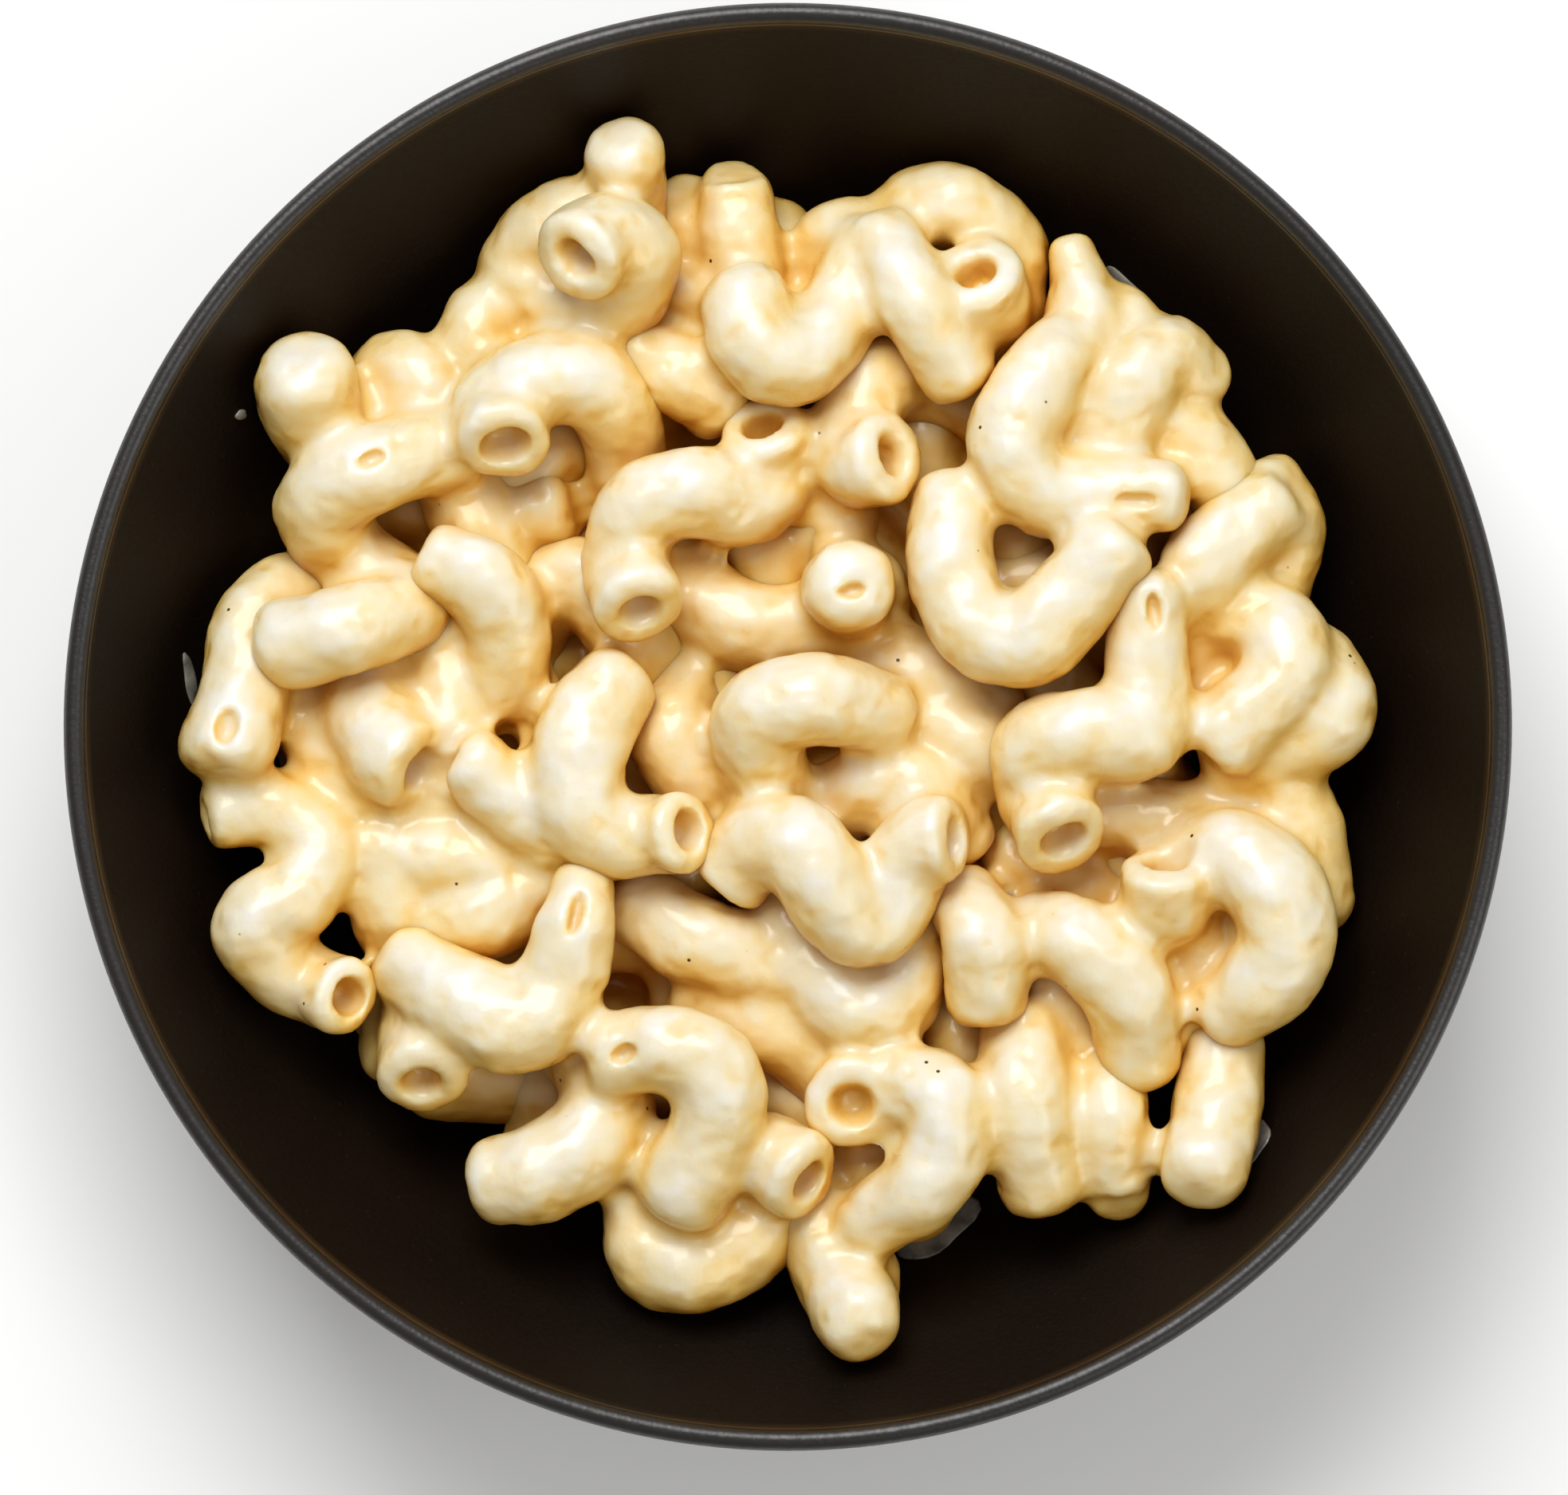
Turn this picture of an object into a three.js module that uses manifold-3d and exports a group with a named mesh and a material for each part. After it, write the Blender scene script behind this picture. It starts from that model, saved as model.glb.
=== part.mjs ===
// Mac and cheese in its bowl: cavatappi, the corkscrew macaroni, in cheese sauce, in a matte black coupe bowl.
// Millimetres, +Z up. The origin is the middle of the foot, on the table.
import * as THREE from "three";
import { mergeVertices } from "three/addons/utils/BufferGeometryUtils.js";
import Module from "manifold-3d";

const wasm = await Module();
wasm.setup();

// ---------------------------------------------------------------- the bowl
const RIM_RADIUS = 75; // outside of the lip
const RIM_HEIGHT = 42;
const FOOT_RADIUS = 33;
const FOOT_EDGE = 1.2; // height of the foot's side
const FLOOR = 5; // height of the well's floor
const WALL = 3.6; // thickness of the wall
const WELL_RADIUS = 72.8; // inside, at the lip
const WELL_RISE = 3.4; // how late the wall turns up: the power of its curve
const LIP = 1.2; // half the lip's thickness
const BOWL_SIDES = 48;

// The well's surface: nearly flat in the middle and steep at the lip.
const WELL_DEPTH = RIM_HEIGHT - LIP - FLOOR;
const wellHeight = (r) => FLOOR + WELL_DEPTH * (r / WELL_RADIUS) ** WELL_RISE;
const wellSlope = (r) => (WELL_DEPTH * WELL_RISE * (r / WELL_RADIUS) ** (WELL_RISE - 1)) / WELL_RADIUS;

function bowlProfile() {
  const inside = [];
  for (let i = 0; i <= 9; i++) {
    const r = WELL_RADIUS * Math.sin(((i / 9) * Math.PI) / 2) ** 0.9;
    inside.push(new THREE.Vector2(r, wellHeight(r)));
  }
  const lip = [];
  const lipRadius = (RIM_RADIUS - WELL_RADIUS) / 2;
  for (let i = 1; i <= 3; i++) {
    const a = Math.PI * (1 - i / 4);
    lip.push(new THREE.Vector2(
      (RIM_RADIUS + WELL_RADIUS) / 2 + lipRadius * Math.cos(a),
      RIM_HEIGHT - LIP + LIP * Math.sin(a),
    ));
  }
  // The outside follows the well's curve one wall's thickness away, down to the foot.
  const outside = [new THREE.Vector2(RIM_RADIUS, RIM_HEIGHT - LIP)];
  for (let i = 1; i <= 6; i++) {
    const r = THREE.MathUtils.lerp(WELL_RADIUS - 1.6, FOOT_RADIUS, i / 6);
    const slope = wellSlope(r);
    const n = Math.hypot(1, slope);
    const z = Math.max(wellHeight(r) - WALL / n, FOOT_EDGE);
    outside.push(new THREE.Vector2(r + (WALL * slope) / n, z));
  }
  const foot = [new THREE.Vector2(FOOT_RADIUS, 0), new THREE.Vector2(0, 0)];
  return [...foot.reverse(), ...outside.reverse(), ...lip.reverse(), ...inside.reverse()];
}

// ------------------------------------------------------------- the macaroni
const TUBE = 4.7; // outside radius of one piece with its coat of sauce
const BORE = 2.1;
const BORE_DEPTH = 3;
const FULLER = 1.05; // a faceted tube this much wider is as full as a round one
const SIDES = 6;
const END = 0.7; // how far a closed end reaches past its last bend, in radii
const STEP = 6.2; // between two rings along a piece
const CLEAR = 0.35; // between the food and the bowl

// One entry for each piece of macaroni, or strand of one: the bends of its middle line, and its outside radius
// there, going round the heap from the upper left. An open end, a for the first and b for the last, stops at its
// last bend and has a mouth; a closed one reaches on.
const MACARONI = [
  // the upper left
  { at: [[-48.8, 30.6, 24], [-49.8, 33.4, 27.5], [-50.1, 35.4, 29.5]], wide: [4.7, 5.5, 5.4] },
  { at: [[-43, 31.5, 25], [-42.3, 36.8, 27], [-38.6, 36.6, 29], [-37.6, 29, 29]],
    wide: [4, 4.2, 4.6, 4.6] },
  { at: [[-36.2, 29, 32], [-43.5, 26.8, 35], [-49, 23.4, 32.5], [-46.3, 18, 28.5], [-40, 12.8, 31],
    [-45.4, 10.2, 35], [-51.2, 8.9, 34]], wide: [4.6, 4.9, 4.8, 4.5, 4.7, 4.8, 4.9] },
  { at: [[-17, 53.8, 22], [-23.5, 52.8, 25], [-27.8, 47.8, 27], [-23, 44, 28], [-17, 45.4, 31],
    [-16, 49.4, 34.5], [-19.4, 50.4, 36.5], [-22.3, 48.2, 40.5]],
    wide: [4.5, 4.8, 4.9, 4.9, 4.8, 4.8, 4.9, 4.8], open: "b" },
  { at: [[-16.9, 58, 28], [-16.7, 51, 27], [-15.5, 44, 23]], wide: 4.3 },
  { at: [[-28.5, 45, 25], [-32.4, 41.5, 28], [-32.4, 34, 27]], wide: 4.4 },
  { at: [[-16.6, 25, 26], [-17.2, 31, 29], [-20, 35.6, 32], [-25.5, 36.3, 33.5], [-29.8, 33.2, 34],
    [-29.3, 28.8, 39]], wide: [4.4, 4.6, 5, 5, 5, 4.8], open: "b" },
  { at: [[-34.5, 26, 26], [-31.5, 18.5, 28], [-29.8, 11, 26]], wide: 4.8 },
  { at: [[-31, 21, 25], [-25.6, 22.6, 27]], wide: 4.3 },
  // the left
  { at: [[-47, 13.6, 24], [-52, 13.8, 27], [-56, 10, 29.5], [-56.6, 4.4, 31.5], [-58, -0.9, 33.5]],
    wide: [4.6, 4.6, 4.6, 4.6, 5.2] },
  { at: [[-61, -9.6, 31], [-54.6, -8.6, 30.5], [-49.2, -12.2, 30.5], [-50.8, -17.2, 32],
    [-55.8, -21, 32], [-53, -25, 30.5], [-49, -27.2, 30.5], [-45.4, -28.3, 35.5]],
    wide: [3.4, 4.3, 4.5, 4.6, 4.7, 4.4, 4, 4], open: "ab" },
  { at: [[-35.2, 16.8, 33.5], [-31.8, 15.4, 34], [-29, 10.5, 32], [-29.6, 4.6, 30]],
    wide: [4.2, 4.7, 4.5, 4.2] },
  { at: [[-28, 9, 22], [-25.6, 14.6, 26], [-20.5, 15, 28], [-16.5, 10, 27], [-13, 6, 24]], wide: 4.8 },
  { at: [[-18.4, 3.4, 33], [-21.3, -1, 34.5], [-21.7, -7.3, 35], [-18.5, -11.3, 35],
    [-13.5, -11.2, 35.5], [-9.9, -10.8, 39]], wide: [4.6, 5.3, 5.4, 4.9, 4.4, 4.3], open: "b" },
  { at: [[-31.9, -4.6, 34], [-27.6, -8.8, 33.5], [-23.5, -12.5, 31.5]], wide: [4, 4, 3.6] },
  { at: [[-43.8, 6, 26], [-43, 0.6, 30], [-41.2, -2.8, 32.5], [-38.2, -4.6, 34.5]],
    wide: [5, 5.6, 5.4, 4.8], open: "b" },
  { at: [[-50.5, 4, 25], [-48.6, -1.6, 27], [-44.6, -6, 28.5], [-39.5, -7.8, 28]], wide: 4.3 },
  { at: [[-36.4, 8, 27], [-35, -0.6, 29], [-36.5, -7, 28]], wide: 4.7 },
  { at: [[-42, -13.6, 28], [-40.6, -19, 27.5], [-38, -24, 26]], wide: [5.2, 5.6, 5.2] },
  { at: [[-41, -13.6, 28], [-35, -14, 29.5], [-28, -15.5, 28.5]], wide: [4.8, 4.9, 4.6] },
  { at: [[-37.5, -21.4, 28], [-32, -19.8, 30.5], [-26.5, -17.4, 29.5]], wide: 4.6 },
  // the top
  { at: [[-5.5, 54.6, 28], [-4.7, 48, 28], [-2.5, 43, 26]], wide: [4.2, 4.5, 4.2] },
  { at: [[-10.5, 53, 25], [-9.8, 46, 25]], wide: 3.8 },
  { at: [[-4.2, 43.4, 34], [-3.2, 39.8, 35.5], [1, 38.2, 34.5], [4.8, 42.4, 32], [8, 49.4, 30]],
    wide: [4.8, 4.9, 4.8, 4.6, 4] },
  { at: [[10.4, 50, 31.5], [13.2, 44.4, 34.5], [17, 38, 33]], wide: [4.1, 4.4, 4.4] },
  { at: [[3.2, 46.5, 25], [4.9, 51.8, 27], [8.5, 52, 27]], wide: 3.6 },
  { at: [[10.5, 50, 24], [13, 53.6, 26], [18, 54.4, 27], [22.4, 50.4, 27], [22.6, 45, 27]], wide: 4.6 },
  { at: [[21.4, 40.6, 26], [20.8, 44, 31], [19.4, 47.6, 36]], wide: [4.4, 4.8, 4.7], open: "b" },
  { at: [[-15.5, 38.5, 28.5], [-11, 36.5, 30], [-8.6, 34.6, 28.5]], wide: 4.4 },
  // the middle
  { at: [[-2.7, 31.8, 33.5], [-1.6, 27.5, 29.5], [-3.8, 23.6, 31], [-9.5, 24.4, 34],
    [-15.3, 22.8, 34], [-16.8, 17.4, 32.5], [-15.3, 11.8, 38]],
    wide: [4.4, 4.6, 5, 5, 4.8, 4.6, 4.8], open: "ab" },
  { at: [[-12.5, 17.5, 24], [-9, 13.5, 27], [-3.5, 10.5, 28.5], [3, 10.8, 28], [8, 14, 26]], wide: 4.9 },
  { at: [[6, 13.8, 27], [6.3, 14.8, 36]], wide: [4.8, 4.9] },
  { at: [[4.5, 25.5, 26], [5.5, 18, 26]], wide: 4.4 },
  { at: [[15, 37.5, 25], [9.5, 36, 28.5], [6.9, 31.5, 30], [7.6, 27.6, 32], [11.2, 28.4, 36]],
    wide: [4.4, 4.6, 4.6, 4.8, 4.6], open: "b" },
  { at: [[11, 34.8, 24], [17, 34.6, 25], [22, 32, 25]], wide: 3.6 },
  { at: [[-10.5, 3.5, 27], [-12, -0.8, 29], [-9.6, -5.6, 28.5]], wide: [4.3, 4.9, 4.3] },
  { at: [[8.7, 1.6, 34], [2.3, 2.8, 38], [-2.8, 1.3, 36.5], [-2.4, -4.6, 32], [-0.3, -10.5, 28]],
    wide: [4.7, 4.9, 4.9, 4.8, 5] },
  { at: [[-7.2, -16.2, 33], [-3.6, -12.4, 35], [1, -12.4, 38], [4.5, -17.6, 38], [8.4, -20.6, 36],
    [11.6, -15.4, 35.5], [14, -12.1, 37], [17.6, -11.6, 38.8]],
    wide: [4.4, 4.8, 5, 5, 5, 4.7, 4.6, 4.3], open: "ab" },
  { at: [[4.5, -9, 28], [8.5, -6.2, 30.5], [13.5, -6.3, 31], [17, -11, 29.5]],
    wide: [4.4, 4.8, 4.8, 4.4] },
  { at: [[16.8, 0.2, 30], [21, -2.5, 30.5], [24, -4, 30]], wide: 4 },
  { at: [[8, 8.5, 26], [14, 5, 28], [20, 1.5, 27]], wide: 4.9 },
  { at: [[22, -7, 22], [22.5, -16, 22]], wide: 4.4 },
  // the upper right
  { at: [[29.8, 49.2, 29], [31.2, 43, 30], [32, 37, 29]], wide: [2.4, 4.7, 4.6] },
  { at: [[31, 44.5, 28], [35, 42.6, 29], [38.6, 39.5, 28]], wide: [3.4, 3.8, 2.6] },
  { at: [[30.6, 40.6, 31], [26, 35.5, 34.5], [23.6, 29.4, 35], [26.6, 24.6, 34.5], [32, 24.4, 34.5],
    [38.2, 24.2, 35.5]], wide: [4.2, 4.9, 5.1, 4.9, 4.4, 4] },
  { at: [[42, 37, 29], [39.8, 38.6, 30.5], [36, 35.6, 32], [33.8, 29.6, 31]],
    wide: [4.3, 4.6, 4.8, 4.7] },
  { at: [[38.5, 33.5, 28], [42.5, 29.5, 29], [46.5, 24, 29]], wide: [4.4, 4.7, 4.2] },
  { at: [[17.3, 22.6, 33], [17, 16.5, 35], [19.2, 10.8, 36], [24, 8.8, 36.5], [28.4, 12.2, 37],
    [32.8, 17.4, 37.5]], wide: [4.6, 4.8, 5, 5.1, 5, 4.5] },
  { at: [[20, 14.8, 26], [29, 15, 27]], wide: 4.3 },
  // the right
  { at: [[49.4, 22.1, 31], [43.2, 16.4, 32], [44.8, 12.6, 29.5], [50.6, 10.6, 31], [52.4, 6.2, 33],
    [46.6, -0.2, 33]], wide: [4.5, 4.8, 4.4, 4.7, 4.9, 4.8] },
  { at: [[50.3, 24.4, 28], [52.2, 21, 28], [51, 15.5, 26]], wide: 4.3 },
  { at: [[55.4, 6.2, 29], [57.2, 1.4, 31], [52.5, -1.8, 30], [47.5, -4, 28.5]],
    wide: [4.4, 4.7, 4.6, 4.4] },
  { at: [[37.5, 12.9, 35.5], [37.4, 7.4, 34.5], [36.6, -0.4, 35.5], [31, -1, 36.5], [25.9, -1.9, 35],
    [26.2, -6.6, 33], [28.8, -12, 38.5]], wide: [3.8, 4.6, 5.3, 5.1, 4.8, 4.8, 5], open: "b" },
  { at: [[40.8, -14.4, 30], [46.2, -13.6, 33.5], [50.8, -17, 35], [51.8, -22.6, 35], [49.4, -27, 34],
    [46.8, -29, 32.5]], wide: [4.4, 5.1, 5.4, 5.1, 4.9, 4.4] },
  { at: [[39.2, -13.9, 36.5], [39.2, -17.6, 34.5], [39.8, -19.6, 30]], wide: [4.5, 4.8, 4.5], open: "a" },
  { at: [[51.6, -6, 28], [54.2, -12, 28], [54.8, -17, 28]], wide: 4.4 },
  { at: [[26.5, -21.6, 32], [30.5, -22.4, 34], [35, -27, 34.5], [36.6, -33.4, 31.5]],
    wide: [4.4, 4.8, 4.9, 4.6] },
  { at: [[18.6, -18.2, 32], [20.4, -21.8, 34.5], [20.5, -27.4, 33]], wide: [4, 4.7, 4.4] },
  { at: [[42.8, -20, 29], [43, -26, 29], [41, -31, 28]], wide: 3.4 },
  { at: [[41, 2, 27], [42.4, 8, 28]], wide: 3.8 },
  { at: [[33, -9, 28], [38.5, -9.8, 28.5], [43.5, -9.8, 28]], wide: 4.3 },
  { at: [[24.5, -14.5, 25], [31, -17.5, 26]], wide: 4.6 },
  // the lower left
  { at: [[-38.4, -25.8, 31.5], [-33.5, -28.8, 34.5], [-27.6, -31, 35.5], [-24, -26.8, 35],
    [-22, -20.6, 36], [-21.4, -17.4, 35]], wide: [5, 5.4, 5.3, 4.8, 4.3, 3.6] },
  { at: [[-38.6, -29, 27], [-38.2, -33.4, 30.5], [-38.1, -37.3, 35]], wide: [4.8, 4.8, 4.6], open: "b" },
  { at: [[-41.5, -30, 24], [-41.2, -33.6, 26]], wide: 3.8 },
  { at: [[-35.6, -36.6, 23], [-25, -37, 22]], wide: 4.9 },
  { at: [[-20.3, -34.5, 28], [-18.8, -39.5, 30], [-21.6, -44, 31.5], [-26.4, -46.6, 32],
    [-29.2, -47, 31.5]], wide: [4.8, 5.2, 5.4, 5.4, 4.8] },
  { at: [[-17, -33.8, 35.5], [-12.3, -33.6, 36.5], [-7.6, -36, 36.5], [-7.6, -41.5, 35],
    [-10.6, -47.6, 33]], wide: [4.4, 4.7, 5, 5.1, 5.1] },
  { at: [[-8, -44, 28], [-2.5, -44.6, 31], [2.4, -47.4, 35.5]], wide: [4.4, 4.6, 4.6], open: "b" },
  { at: [[-15.2, -51.4, 28], [-14, -55.4, 28.5], [-10, -57, 28.5], [-4, -53.8, 28], [-0.5, -50, 26]],
    wide: [4.2, 4.9, 4.9, 4.6, 4] },
  { at: [[-10, -49.5, 23], [-2, -49.5, 23]], wide: 4.4 },
  // the bottom
  { at: [[2.4, -50.5, 27], [4.6, -55.5, 28.5], [6.5, -59.9, 29]], wide: [4.3, 4.9, 4.9] },
  { at: [[7, -58, 27], [9, -57.8, 27]], wide: 3.4 },
  { at: [[7.2, -37.2, 25], [6.5, -39.5, 35.5]], wide: [4.8, 4.8], open: "b" },
  { at: [[11.4, -37.6, 32.5], [15.8, -38.4, 34.5], [17, -43, 35], [13.6, -48, 34], [9.2, -51.2, 31.5]],
    wide: [4.4, 4.8, 4.8, 4.7, 4.1] },
  { at: [[9, -45, 25], [15, -41, 25]], wide: 4.2 },
  { at: [[24.6, -33.4, 30], [24.8, -39, 33], [26.3, -46.6, 31]], wide: [4.8, 5, 4.8] },
  { at: [[33.6, -37, 30], [33.6, -41.5, 32], [34.4, -47.2, 30]], wide: [3.7, 4, 3.7] },
  { at: [[29, -27.5, 27], [31.5, -34, 27]], wide: 4.4 },
  { at: [[45.4, -34.8, 29], [44.8, -40, 31], [43.6, -44.6, 30]], wide: [4.6, 4.9, 4.7] },
  { at: [[0.4, -17.5, 28], [2, -24, 30], [6.5, -29, 31], [11.2, -28, 30.5], [12.2, -21, 29]],
    wide: [4.6, 4.9, 5.3, 5, 4.6] },
  { at: [[-14.8, -19.5, 29], [-9.5, -22.5, 31.5], [-3, -25, 30]], wide: [4.4, 4.8, 4.6] },
  { at: [[-8.5, -29, 28], [-2, -31, 28.5], [4, -35.5, 27]], wide: 4.6 },
];

// The lower layer: straight runs that lean up the wall all round, by the angle that they point to in degrees.
const LOWER = [3, 68, 118, 160, 215, 262, 305];
const LOWER_FROM = 24;
const LOWER_TO = 50;

// No piece sinks into the wall: its middle line stays a tube's radius off the well's surface.
function restOnWell(p, tube) {
  const r = Math.hypot(p.x, p.y);
  const lowest = wellHeight(r) + (tube + CLEAR) * Math.hypot(1, wellSlope(r));
  return new THREE.Vector3(p.x, p.y, Math.max(p.z, lowest));
}

// The step of a given length that leads on past a line's end, straight away from the point before it.
const beyond = (end, before, length) => end.clone().sub(before).setLength(length);

// A closed mesh as a solid that can be joined and cut.
function solidOf(geometry) {
  geometry.deleteAttribute("normal");
  geometry.deleteAttribute("uv");
  const merged = mergeVertices(geometry, 1e-3);
  return new wasm.Manifold(new wasm.Mesh({
    numProp: 3,
    vertProperties: merged.attributes.position.array,
    triVerts: new Uint32Array(merged.index.array),
  }));
}

function geometryOf(solid) {
  const mesh = solid.getMesh();
  const geometry = new THREE.BufferGeometry();
  geometry.setAttribute("position", new THREE.BufferAttribute(mesh.vertProperties, 3));
  geometry.setIndex(new THREE.BufferAttribute(mesh.triVerts, 1));
  geometry.computeVertexNormals();
  return geometry;
}

// A closed tube along a line of points, with flat ends.
function tubeSolid(points, radius, sides) {
  const section = [];
  for (let j = 0; j < sides; j++) {
    const a = (2 * Math.PI * j) / sides;
    section.push(new THREE.Vector2(radius * Math.cos(a), radius * Math.sin(a)));
  }
  return solidOf(new THREE.ExtrudeGeometry(new THREE.Shape(section), {
    steps: points.length - 1,
    extrudePath: new THREE.CatmullRomCurve3(points, false, "centripetal"),
    bevelEnabled: false,
  }));
}

// A lathe's profile starts and ends on the axis; both of these do.
const lathe = (profile, sides) => solidOf(
  new THREE.LatheGeometry(profile, sides).rotateX(Math.PI / 2));

// The sauce and the macaroni under the top layer, up to where the gaps end.
const CORE_RADIUS = 41;
const CORE_TOP = 20;
function coreProfile() {
  const profile = [new THREE.Vector2(0, FLOOR + CLEAR)];
  for (let i = 1; i <= 4; i++) {
    const r = (CORE_RADIUS * i) / 4;
    profile.push(new THREE.Vector2(r, wellHeight(r) + CLEAR * 1.4));
  }
  profile.push(new THREE.Vector2(CORE_RADIUS - 2, CORE_TOP - 2.5));
  profile.push(new THREE.Vector2(CORE_RADIUS - 9, CORE_TOP));
  profile.push(new THREE.Vector2(0, CORE_TOP + 3));
  return profile;
}

function heap() {
  const tubes = [lathe(coreProfile(), 28)];
  const bores = [];
  for (const piece of MACARONI) {
    const widths = [piece.wide].flat();
    const tube = widths.reduce((sum, w) => sum + w, 0) / widths.length;
    const open = piece.open ?? "";
    const bends = piece.at.map((p) => new THREE.Vector3(...p));
    if (!open.includes("a")) bends[0].add(beyond(bends[0], bends[1], tube * END));
    if (!open.includes("b")) bends.at(-1).add(beyond(bends.at(-1), bends.at(-2), tube * END));
    const curve = new THREE.CatmullRomCurve3(bends, false, "centripetal");
    const rings = Math.max(2, Math.round(curve.getLength() / STEP) + 1);
    const line = curve.getSpacedPoints(rings - 1).map((p) => restOnWell(p, tube));
    tubes.push(tubeSolid(line, tube * FULLER, SIDES));
    for (const end of open) {
      const [from, next] = end === "a" ? line : line.slice().reverse();
      const outward = beyond(from, next, BORE_DEPTH);
      bores.push(tubeSolid([from.clone().sub(outward), from.clone().add(outward)], BORE, 6));
    }
  }
  for (const degrees of LOWER) {
    const a = THREE.MathUtils.degToRad(degrees);
    const line = [0, 0.5, 1].map((t) => {
      const r = THREE.MathUtils.lerp(LOWER_FROM, LOWER_TO, t);
      return restOnWell(new THREE.Vector3(r * Math.cos(a), r * Math.sin(a), 0), TUBE);
    });
    tubes.push(tubeSolid(line, TUBE, 6));
  }
  let food = wasm.Manifold.union(tubes);
  for (const bore of bores) food = food.subtract(bore);
  // What the bowl and its clearance take up stays free.
  const grown = [];
  for (let i = 0; i <= 12; i++) {
    const r = (WELL_RADIUS * i) / 12;
    grown.push(new THREE.Vector2(r, wellHeight(r) + CLEAR * Math.hypot(1, wellSlope(r))));
  }
  const under = lathe([
    new THREE.Vector2(0, -20), new THREE.Vector2(WELL_RADIUS + 20, -20),
    new THREE.Vector2(WELL_RADIUS + 20, RIM_HEIGHT + 20), new THREE.Vector2(WELL_RADIUS, RIM_HEIGHT + 20),
    ...grown.reverse(),
  ], 72);
  // Loose scraps are dropped and sealed hollows filled: the outermost skin of the largest body stays.
  const [largest] = food.subtract(under).decompose().sort((a, b) => b.volume() - a.volume());
  return largest;
}

const part = new THREE.Group();

const bowl = new THREE.Mesh(
  geometryOf(lathe(bowlProfile(), BOWL_SIDES)),
  new THREE.MeshStandardMaterial({ color: 0x1b1817, roughness: 0.55, metalness: 0 }),
);
bowl.name = "bowl";
part.add(bowl);

const macaroni = new THREE.Mesh(
  geometryOf(heap()),
  new THREE.MeshStandardMaterial({ color: 0xf3dfa8, roughness: 0.35, metalness: 0 }),
);
macaroni.name = "macaroni_heap";
part.add(macaroni);

export default part;
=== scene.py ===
# Mac and cheese: corkscrew macaroni in cheese sauce, heaped in a matte black bowl, on a white table.
import math

import bpy
from mathutils import Matrix, Vector


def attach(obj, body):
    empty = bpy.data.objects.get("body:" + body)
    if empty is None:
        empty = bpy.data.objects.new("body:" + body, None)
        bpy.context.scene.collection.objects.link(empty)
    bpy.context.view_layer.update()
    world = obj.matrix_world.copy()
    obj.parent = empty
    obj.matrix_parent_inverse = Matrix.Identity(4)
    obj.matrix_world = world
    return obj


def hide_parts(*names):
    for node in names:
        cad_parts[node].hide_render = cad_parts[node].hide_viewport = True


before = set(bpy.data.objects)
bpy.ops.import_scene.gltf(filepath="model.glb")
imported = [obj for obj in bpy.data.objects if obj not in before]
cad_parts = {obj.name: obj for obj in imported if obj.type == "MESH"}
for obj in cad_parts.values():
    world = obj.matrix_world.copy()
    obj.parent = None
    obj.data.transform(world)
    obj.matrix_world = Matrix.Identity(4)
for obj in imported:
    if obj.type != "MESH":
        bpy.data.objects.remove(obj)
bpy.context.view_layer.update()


# ---------------------------------------------------------------------------------------- bowl
# A coupe bowl of black stoneware, thrown and turned, with a matte glaze all over.
# The glaze is dense and faintly grainy, and the lip is rounded by sponging. A brown line painted just inside
# the lip is a painted reflection of the golden food. The bowl stands on a low flat foot.
# Sizes are in millimetres. LIP is half the lip's height, and the well rises with the power WELL_RISE of the
# radius.
RIM_RADIUS, RIM_HEIGHT, LIP = 75.0, 42.0, 1.2
WELL_RADIUS, WELL_FLOOR, WELL_RISE = 72.8, 5.0, 3.4
WALL, FOOT_RADIUS, FOOT_EDGE = 3.6, 33.0, 1.2
FOOT_RING, RECESS = 3.2, 0.6
OUTSIDE_RINGS, LIP_RINGS, WELL_RINGS, TURNED_SIDES = 28, 30, 48, 256
WELL_DEPTH = RIM_HEIGHT - LIP - WELL_FLOOR


def well_height(r):
    return WELL_FLOOR + WELL_DEPTH * (r / WELL_RADIUS) ** WELL_RISE


def well_slope(r):
    return WELL_DEPTH * WELL_RISE * (r / WELL_RADIUS) ** (WELL_RISE - 1) / WELL_RADIUS


def millimetre_mesh(name, points, faces):
    """An object whose mesh is given in millimetres, smooth shaded."""
    mesh = bpy.data.meshes.new(name)
    mesh.from_pydata([(x / 1000, y / 1000, z / 1000) for x, y, z in points], [], faces)
    mesh.validate()
    mesh.shade_smooth()
    obj = bpy.data.objects.new(name, mesh)
    bpy.context.scene.collection.objects.link(obj)
    return obj


def linear(colour):
    """An sRGB hex colour as the linear values that a shader takes."""
    values = [int(colour[i:i + 2], 16) / 255 for i in (1, 3, 5)]
    return [v / 12.92 if v <= 0.04045 else ((v + 0.055) / 1.055) ** 2.4 for v in values] + [1.0]


def put(tree, kind, links=(), stops=(), **settings):
    """Adds one node with its settings and links. links: what goes into each input, a value or another
    node's output. stops: the positions and hex colours of a colour ramp."""
    node = tree.nodes.new(kind)
    for key, value in settings.items():
        setattr(node, key, value)
    for socket, value in dict(links).items():
        if isinstance(value, bpy.types.NodeSocket):
            tree.links.new(value, node.inputs[socket])
        else:
            node.inputs[socket].default_value = value
    for i, (position, colour) in enumerate(stops):
        stop = node.color_ramp.elements[i] if i < 2 else node.color_ramp.elements.new(position)
        stop.position = position
        stop.color = linear(colour)
    return node


def new_material(name):
    material = bpy.data.materials.new(name)
    material.use_nodes = True
    material.node_tree.nodes.clear()
    return material, material.node_tree


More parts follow.
